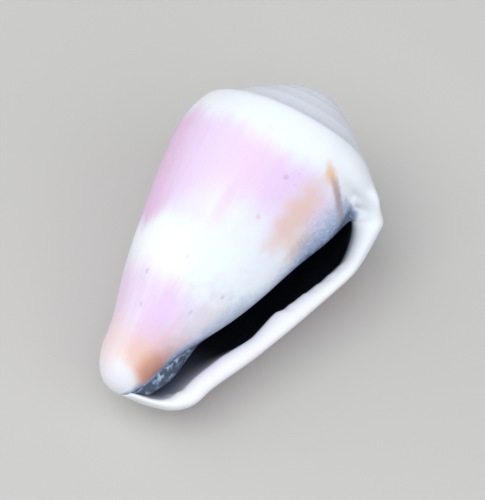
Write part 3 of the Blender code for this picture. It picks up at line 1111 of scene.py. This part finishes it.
# The upper band's low edge and its softness: from one angle to another, from one value to another
UPPER_LOW = (112.0, 162.0, 23.2, 17.2)
UPPER_LOW_SOFTNESS = (112.0, 150.0, 2.8, 1.3)
UPPER_HIGH = 29.6
UPPER_HIGH_SOFTNESS = 1.5
UPPER_WANDER = 3.0
DARK_STREAK = (101, 25.0, 5.0, 4.4)
DARK_STREAK_STRENGTH = 0.85

# Low edge, high edge, their softness, wander
VEIL = (18.8, 30.2, (1.3, 1.2), 2.0)
LOWER = (4.6, 13.0, (1.2, 2.2), 3.0)

FINE_STREAKS = 0.20
BROAD_STREAKS = 0.26
LEAST_STREAK = 0.76


def profile(stops):
    """Strength over the turn, from pairs of degrees past the lip and strength."""
    node = coat.add("ShaderNodeValToRGB", {"Fac": coat.over(past_lip, 360.0)})
    node.color_ramp.interpolation = "EASE"
    elements = node.color_ramp.elements
    for _ in range(len(stops) - 2):
        elements.new(0.5)
    for element, (degrees, strength) in zip(elements, stops):
        element.position = degrees / 360
        element.color = (strength, strength, strength, 1)
    return node.outputs["Color"]


fine = coat.mask_from(streaks, **growth, fineness=0.9, length=14.0)
broad = coat.mask_from(streaks, **growth, fineness=0.3, length=20.0)
streaky = coat.plus(coat.times(fine, FINE_STREAKS), coat.times(broad, BROAD_STREAKS))
streaky = coat.plus(streaky, LEAST_STREAK)

upper_low = coat.rescale(past_lip, *UPPER_LOW)
upper_softness = (coat.rescale(past_lip, *UPPER_LOW_SOFTNESS), UPPER_HIGH_SOFTNESS)
upper = band_mask(upper_low, UPPER_HIGH, upper_softness, UPPER_WANDER)
upper = coat.times(upper, profile(UPPER_STRENGTH), streaky)
dark_streak = coat.times(stain_mask(DARK_STREAK, 0.85, 0.3, 0.5), DARK_STREAK_STRENGTH)
upper = coat.maths("MAXIMUM", upper, dark_streak)
veil = coat.times(band_mask(*VEIL), profile(VEIL_STRENGTH))
lower = coat.times(band_mask(*LOWER), profile(LOWER_STRENGTH), streaky)

hue = coat.mix(coat.times(broad, 0.5), LILAC, VIOLET)
hue = coat.mix(coat.rescale(past_lip, PINK_FROM, PINK_FULL), hue, PINK)
for mask, tint in ((veil, VIOLET), (upper, hue), (lower, hue)):
    colour = coat.mix(mask, colour, tint)
print("bands between 18 and 30 mm, and between 5 and 13 mm")

# %% [markdown]
# ## Remains of the outer coat
#
# The dull coat that covers a living shell is orange-tan here and clings in patches near the mouth, in a
# line along the hollow, and at the tip. Each one is a stain with its own place, size and colour. The
# cool white beside the mouth and the white lobe at the tip are laid the same way.

# %% Orange-tan stains
TAN = (0.81, 0.55, 0.47, 1.0)
ORANGE = (0.86, 0.58, 0.40, 1.0)
OCHRE = (0.84, 0.61, 0.47, 1.0)
RUST = (0.46, 0.30, 0.29, 1.0)
BROWN = (0.50, 0.235, 0.20, 1.0)
AMBER = (0.72, 0.37, 0.24, 1.0)
LOBE = (0.84, 0.84, 0.90, 1.0)
BLUSH = (0.84, 0.74, 0.86, 1.0)
COOL = (0.87, 0.925, 1.0, 1.0)
ROSE = (0.78, 0.54, 0.57, 1.0)
CREAM = (0.86, 0.68, 0.67, 1.0)
GREYED = (0.66, 0.52, 0.56, 1.0)
STAIN_GRAIN = 0.7

# Name, colour, strength, softness, raggedness, place (angle, level, half angle, half height, slant)
STAINS = (
    ("cool white beside the mouth", COOL, 0.8, 0.9, 0.3, (44, 15.8, 36, 6.5)),
    ("patch beside the mouth", TAN, 0.8, 0.7, 0.5, (52, 25.2, 12, 3.9)),
    ("strong end of it", OCHRE, 0.85, 0.8, 0.5, (28, 23.5, 12, 1.7)),
    ("start of the line", ORANGE, 0.95, 0.7, 0.6, (51, 31.0, 6.5, 0.62, 0.07)),
    ("middle of the line", RUST, 0.8, 0.7, 0.8, (37, 30.1, 10, 0.45, 0.06)),
    ("end of the line", RUST, 0.75, 0.8, 0.9, (19, 29.2, 11, 0.4, 0.045)),
    ("rosy stretch over the tip", ROSE, 0.7, 0.8, 0.4, (70, 6.6, 42, 2.3)),
    ("blotches above it", GREYED, 0.36, 0.8, 1.7, (50, 10.4, 24, 4.0)),
    ("tip", TAN, 0.92, 0.7, 0.3, (90, 4.6, 44, 1.8, 0.01)),
    ("tip near the mouth", AMBER, 0.9, 0.6, 0.3, (54, 4.3, 32, 1.75)),
    ("tip beside the slot", BROWN, 0.95, 0.9, 0.35, (30, 4.8, 36, 2.3)),
    ("white lobe", LOBE, 0.85, 0.3, 0.25, (112, 1.2, 64, 1.9)),
    ("outside of the lip", BLUSH, 0.3, 0.9, 0.6, (352, 13, 12, 9)),
    ("left of the tip", CREAM, 0.85, 0.7, 0.4, (158, 4.9, 30, 2.5)),
    ("back, high", TAN, 0.6, 0.5, 0.6, (222, 24.5, 15, 3.2)),
    ("back, low", TAN, 0.65, 0.5, 0.6, (300, 10.5, 20, 2.6)),
    ("behind the lip", TAN, 0.55, 0.5, 0.6, (330, 26.5, 9, 3.0)),
)

colour, masks = lay(STAINS, colour, STAIN_GRAIN)
stained = 0.0
for mask in masks:
    stained = coat.maths("MAXIMUM", stained, mask)
print(len(masks), "stains")

# %% [markdown]
# ## Specks
#
# A few dark specks sit in pinholes: purple and tan on the upper band, grey on the white. Those that the
# photograph shows are placed one by one, and a sparse pattern adds fainter ones all over.

# %% Specks
SPECK_HALF_ANGLE = 1.7
SPECK_HALF_HEIGHT = 0.26
SPECK_STRENGTH = 0.4
SPECK_GRAIN = 2.5
DIRT_STRENGTH = 0.18
PIT_DIRT = (0.52, 0.46, 0.50, 1.0)

# Angle, level, colour
SPECKS = (
    (76, 27.7, (0.46, 0.28, 0.50, 1.0)),
    (76, 22.8, (0.66, 0.42, 0.28, 1.0)),
    (106, 15.6, (0.55, 0.60, 0.70, 1.0)),
    (136, 12.5, (0.50, 0.40, 0.56, 1.0)),
    (74, 11.1, (0.50, 0.36, 0.38, 1.0)),
    (56, 14.3, (0.50, 0.40, 0.44, 1.0)),
    (129, 9.3, (0.52, 0.34, 0.54, 1.0)),
)

for angle, level, tint in SPECKS:
    spot = (angle, level, SPECK_HALF_ANGLE, SPECK_HALF_HEIGHT)
    colour, masks = lay([("speck", tint, SPECK_STRENGTH, 0.7, 0.6, spot)], colour, SPECK_GRAIN)
holes = coat.mask_from(pits, position=here_mm, spacing=2.1, size=0.15, share=0.3)
colour = coat.mix(coat.times(holes, DIRT_STRENGTH), colour, PIT_DIRT)
print(len(SPECKS), "specks placed")

# %% [markdown]
# ## Beside the mouth
#
# The wall next to the mouth is mottled blue-grey: partly its own tone, where thin old enamel shows through,
# and partly painted shade where the wall turns away into the mouth. The stretch is a few millimetres wide and
# fades out softly, and its width changes with the height. A float curve holds that width, in degrees past the
# lip, and noise breaks it up. Nearest the slot a darker painted shade is laid over it, and it sets in sooner
# in the hollow. Between 10 and 20 millimetres over the tip the grey and the painted shade are paler. In the
# hollow the rusty line runs on through it, and painted shade darkens it toward the top of the mouth. The
# white rim over the mouth stays free of all this.

# %% Blue-grey border
# Blue-grey beside the mouth, partly the wall's own tone and partly painted shade; then a dark painted shade
# for the slot's edge, the hollow and the top of the mouth
SLATE_AND_SHADE = (0.27, 0.38, 0.60, 1.0)
PAINTED_SHADE_DARK = (0.075, 0.10, 0.18, 1.0)
PALE = (0.66, 0.78, 0.95, 1.0)

# Pairs of height and width
BORDER = (
    (0.0, 62), (2.4, 60), (3.6, 22), (5.2, 30), (7.0, 50), (9.5, 48), (12.0, 49), (14.5, 48), (16.5, 37),
    (18.5, 29), (21.0, 30), (24.0, 42), (26.5, 44), (28.5, 42), (30.2, 38), (31.0, 14), (31.8, -18),
    (36.0, -18),
)
BORDER_HEIGHT = 36.0
BORDER_SPAN = 80.0
BORDER_LOWEST = -20.0
BORDER_MOTTLE = 32.0
BORDER_GRAIN = 0.9

# How far inside the border the blue-grey and the painted shade beside the slot set in and are full, in
# degrees
BESIDE = (-4.0, 30.0)
EDGE_FROM = 24.0
EDGE_SOONER_IN_HOLLOW = 10.0
EDGE_FULL = 44.0
BESIDE_STRENGTH = 0.9
BESIDE_LESS_WHERE_PALER = 0.32
EDGE_SHADE_STRENGTH = 0.8
EDGE_LESS_WHERE_PALER = 0.85

# Low edge, high edge, their softness, wander
PALER = (10.0, 20.0, (2.0, 2.0), 0.6)
HOLLOW = (29.0, 31.0, (1.6, 0.5), 0.3)

# Name, colour, strength, softness, raggedness, place (angle, level, half angle, half height, slant)
OVER_BORDER = (
    ("rusty line through it", RUST, 0.6, 0.8, 0.9, (25, 29.25, 13, 0.36, 0.05)),
    # Painted shade where the hollow runs into the top of the mouth
    ("painted shade running into the mouth", PAINTED_SHADE_DARK, 0.85, 0.95, 0.3, (0, 29.2, 10, 1.5)),
)


def border_width():
    """Width of the border by height, in degrees past the lip."""
    edge = coat.add("ShaderNodeFloatCurve", {"Value": coat.over(height, BORDER_HEIGHT)})
    points = edge.mapping.curves[0].points
    for _ in range(len(BORDER) - 2):
        points.new(0.5, 0.5)
    for point, (level, angle) in zip(points, BORDER):
        point.location = (level / BORDER_HEIGHT, (angle - BORDER_LOWEST) / BORDER_SPAN)
    edge.mapping.update()
    return coat.line(edge.outputs["Value"], BORDER_SPAN, BORDER_LOWEST)


reach = coat.minus(border_width(), coat.maths("MAXIMUM", past_lip, 0.0))
reach = coat.plus(reach, coat.swing(coat.cloud(here_mm, 1.3, 5.0, 0.65), BORDER_MOTTLE))
# The blue-grey: partly the wall's own tone, partly painted shade where the wall turns into the mouth
beside = coat.times(coat.rescale(reach, *BESIDE), off_rim)
paler = band_mask(*PALER)
grey_share = coat.line(paler, -BESIDE_LESS_WHERE_PALER, BESIDE_STRENGTH)
colour = coat.mix(coat.times(beside, grey_share), colour, SLATE_AND_SHADE)
# Painted shade nearest the slot, setting in sooner in the hollow
edge_from = coat.line(band_mask(*HOLLOW), -EDGE_SOONER_IN_HOLLOW, EDGE_FROM)
edge_shade = coat.times(coat.rescale(reach, edge_from, EDGE_FULL),
                       coat.line(paler, -EDGE_LESS_WHERE_PALER, 1.0), off_rim)
colour = coat.mix(coat.times(edge_shade, EDGE_SHADE_STRENGTH), colour, PAINTED_SHADE_DARK)
dapple = coat.rescale(coat.cloud(here_mm, 2.4, 2.0), 0.56, 0.68)
colour = coat.mix(coat.times(dapple, beside, 0.5), colour, PALE)
colour, masks = lay(OVER_BORDER, colour, BORDER_GRAIN, off_rim)
print("border up to", max(a for _, a in BORDER), "degrees wide, and", len(masks), "stains over it")

# %% [markdown]
# ## Into the mouth
#
# Inside, the mouth is dark, as the photograph shows it, and that dark is painted shade: a dark colour
# stands in for the shadow in the narrow space, lighter low down near the tip. At the top of the mouth the
# painted shade sets in softly from the hollow, and on the lip's inner face it sets in with the depth behind
# the lip. The columella near the tip is lighter, a blue-grey that is partly its own colour and partly
# painted shade, with pale dapples.

# %% Mouth colours
# Painted shade inside the mouth: near black deep in, lighter low down, and the columella partly its own
# blue-grey and partly painted shade
DEEP_SHADE = (0.008, 0.010, 0.018, 1.0)
DEEP_SHADE_LOW = (0.20, 0.23, 0.32, 1.0)
COLUMELLA_WITH_SHADE = (0.075, 0.098, 0.155, 1.0)
DAPPLE = (0.50, 0.70, 0.86, 1.0)
DAPPLE_STRENGTH = 0.8

# Where each change sets in and where it is full, by height
LOW_SHADE = (12.0, 4.5)
PILLAR_HEIGHT = (13.0, 7.0)
TOP_HEIGHT = (27.5, 30.5)
HIGH_LIP = (22.0, 27.0)
LOW_LIP = (15.0, 8.0)

# The same by depth behind the lip, in radians, and by angle past the lip
DAPPLE_DEPTH = (0.9, 0.2)
PILLAR_DEPTH = (1.0, 0.2)
TOP_DEPTH = (0.5, 0.1)
WALL_ANGLE = (182.0, 178.0)

# Depth at which the painted shade begins, and over which it sets in, and how much more of each along the lip
DARK_FROM = 0.078
DARK_LATER_HIGH = 0.08
DARK_RUN = 0.12
DARK_SLOWER_LOW = 0.75

shade_inside = coat.mix(coat.rescale(height, *LOW_SHADE), DEEP_SHADE, DEEP_SHADE_LOW)
blotches = coat.rescale(coat.cloud(here_mm, 1.25, 3.0), 0.46, 0.62)
blotches = coat.times(blotches, coat.rescale(depth_in, *DAPPLE_DEPTH))
pillar = coat.mix(coat.times(blotches, DAPPLE_STRENGTH), COLUMELLA_WITH_SHADE, DAPPLE)
on_wall = coat.rescale(past_lip, *WALL_ANGLE)
pillar_share = coat.times(coat.rescale(height, *PILLAR_HEIGHT), coat.rescale(depth_in, *PILLAR_DEPTH))
shade_and_pillar = coat.mix(coat.times(pillar_share, on_wall), shade_inside, pillar)
# Painted shade at the top of the mouth, from the hollow
top_share = coat.times(coat.rescale(height, *TOP_HEIGHT), coat.rescale(depth_in, *TOP_DEPTH))
shade_and_pillar = coat.mix(top_share, shade_and_pillar, PAINTED_SHADE_DARK)
on_lip = coat.minus(1.0, on_wall)
high_lip = coat.times(coat.rescale(height, *HIGH_LIP), on_lip)
low_lip = coat.times(coat.rescale(height, *LOW_LIP), on_lip)
# The painted shade on the lip's inner face sets in with the depth behind the lip
begin = coat.line(high_lip, DARK_LATER_HIGH, DARK_FROM)
end = coat.plus(begin, coat.line(low_lip, DARK_SLOWER_LOW, DARK_RUN))
colour = coat.mix(coat.rescale(depth_in, begin, end), colour, shade_and_pillar)
print("mouth colours set")

# %% [markdown]
# ## Relief too fine for the mesh, and gloss
#
# Growth lines, grain and pinholes are hundredths of a millimetre deep. A bump node gives them. The
# surface has the satin gloss of worn porcelain: smooth where it is white, duller on the stains.

# %% Relief and gloss
RELIEF_DEPTH = 0.05 * MILLIMETRE
LINES_SHARE = 0.35
GRAIN_SHARE = 0.65
PIT_DEPTH = 1.2
GLOSS = (0.3, 0.7, 0.36, 0.50)
STAIN_DULLNESS = 0.15
UNDER_SURFACE = 1.0 * MILLIMETRE

lines = coat.mask_from(streaks, **growth, fineness=3.2, length=26.0)
grain = coat.cloud(here_mm, 1.6, 6.0)
relief = coat.plus(coat.times(lines, LINES_SHARE), coat.times(grain, GRAIN_SHARE))
relief = coat.minus(relief, coat.times(holes, PIT_DEPTH))
bump = coat.add("ShaderNodeBump", {"Height": relief, "Strength": 0.5, "Distance": RELIEF_DEPTH})
gloss = coat.plus(coat.rescale(grain, *GLOSS), coat.times(stained, STAIN_DULLNESS))
surface = {
    "Base Color": colour,
    "Roughness": gloss,
    "Normal": bump.outputs["Normal"],
    "Subsurface Weight": 0.15,
    "Subsurface Radius": (1.0, 0.8, 0.75),
    "Subsurface Scale": UNDER_SURFACE,
    "IOR": 1.5,
}
for name, value in surface.items():
    coat.feed(bsdf.inputs[name], value)
shell_data.materials.append(finish)
print("finish has", len(finish.node_tree.nodes), "nodes")

# %% [markdown]
# ## Floor and light
#
# The shell is shown on a plain pale floor. A shell on a table in daylight gets broad soft light from
# above and from both sides. All three lights stand square to the shell's axis, which leaves the sloping
# spire a little dimmer than the side, as in the photograph.

# %% Floor and light
FLOOR_SIZE = 3.0
FLOOR_COLOUR = (0.56, 0.54, 0.51, 1.0)
FLOOR_ROUGHNESS = 0.8
KEY = dict(azimuth=-10, elevation=70, distance=0.55, size=0.5, power=1.82, colour=(0.94, 0.97, 0.98))
RIGHT = dict(azimuth=80, elevation=36, distance=0.7, size=0.7, power=1.78, colour=(0.96, 0.97, 1.0))
LEFT = dict(azimuth=-80, elevation=36, distance=0.7, size=0.7, power=1.42, colour=(1.0, 0.98, 1.0))
SKY = (0.86, 0.92, 1.0, 1.0)
SKY_STRENGTH = 0.45
AIM = Vector((1.14, 0.57, 10.30)) * MILLIMETRE


def toward(azimuth, elevation):
    """Unit vector from the shell; azimuth 0 is the front, -Y, and 90 is +X."""
    a, e = math.radians(azimuth), math.radians(elevation)
    return Vector((math.cos(e) * math.sin(a), -math.cos(e) * math.cos(a), math.sin(e)))


def soft_light(name, azimuth, elevation, distance, size, power, colour):
    """A square lamp that looks at the shell."""
    light = bpy.data.lights.new(name, "AREA")
    light.size = size
    light.energy = power
    light.color = colour
    lamp = bpy.data.objects.new(name, light)
    direction = toward(azimuth, elevation)
    lamp.location = AIM + direction * distance
    lamp.rotation_euler = direction.to_track_quat("Z", "Y").to_euler()
    bpy.context.scene.collection.objects.link(lamp)


def pale_floor():
    """The plain floor, which belongs to the picture and not to the shell."""
    half = FLOOR_SIZE / 2
    data = bpy.data.meshes.new("floor")
    corners = [(-half, -half, 0), (half, -half, 0), (half, half, 0), (-half, half, 0)]
    data.from_pydata(corners, [], [(0, 1, 2, 3)])
    material = bpy.data.materials.new("pale floor")
    material.use_nodes = True
    floor_bsdf = material.node_tree.nodes["Principled BSDF"]
    floor_bsdf.inputs["Base Color"].default_value = FLOOR_COLOUR
    floor_bsdf.inputs["Roughness"].default_value = FLOOR_ROUGHNESS
    data.materials.append(material)
    floor = bpy.data.objects.new("floor", data)
    bpy.context.scene.collection.objects.link(floor)
    floor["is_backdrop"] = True


pale_floor()
soft_light("key", **KEY)
soft_light("right", **RIGHT)
soft_light("left", **LEFT)
sky = bpy.data.worlds.new("sky")
sky.use_nodes = True
sky.node_tree.nodes["Background"].inputs["Color"].default_value = SKY
sky.node_tree.nodes["Background"].inputs["Strength"].default_value = SKY_STRENGTH
bpy.context.scene.world = sky
bpy.context.scene.view_settings.view_transform = "Standard"
print("floor, three lights and sky")

# %% [markdown]
# ## Camera
#
# The photograph was taken from above the shell's front, turned a third of a right angle to the mouth's
# side. Those two angles and the distance came from laying the model's outline over the photograph.

# %% Camera
CAMERA_AZIMUTH = 33.0
CAMERA_ELEVATION = 58.6
CAMERA_DISTANCE = 0.45
SENSOR_WIDTH = 36.0
VIEW_WIDTH = 0.05079
NEAREST_VISIBLE = 0.01

camera_data = bpy.data.cameras.new("camera")
camera_data.sensor_fit = "HORIZONTAL"
camera_data.sensor_width = SENSOR_WIDTH
camera_data.lens = SENSOR_WIDTH * CAMERA_DISTANCE / VIEW_WIDTH
camera_data.clip_start = NEAREST_VISIBLE
camera = bpy.data.objects.new("camera", camera_data)
sight = toward(CAMERA_AZIMUTH, CAMERA_ELEVATION)
camera.location = AIM + sight * CAMERA_DISTANCE
camera.rotation_euler = sight.to_track_quat("Z", "Y").to_euler()
bpy.context.scene.collection.objects.link(camera)
bpy.context.scene.camera = camera
print("lens", round(camera_data.lens), "mm")

# %% [markdown]
# ## Size of the plain solid and the dressed shell
#
# Both boxes are printed side by side. The dressed shell must not outgrow the plain solid.

# %% Sizes
bpy.context.view_layer.update()
low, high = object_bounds()
sizes = {"cad": [list(cad_low), list(cad_high)], "visual": [list(low), list(high)]}
print("plain box", sizes["cad"], "dressed box", sizes["visual"])
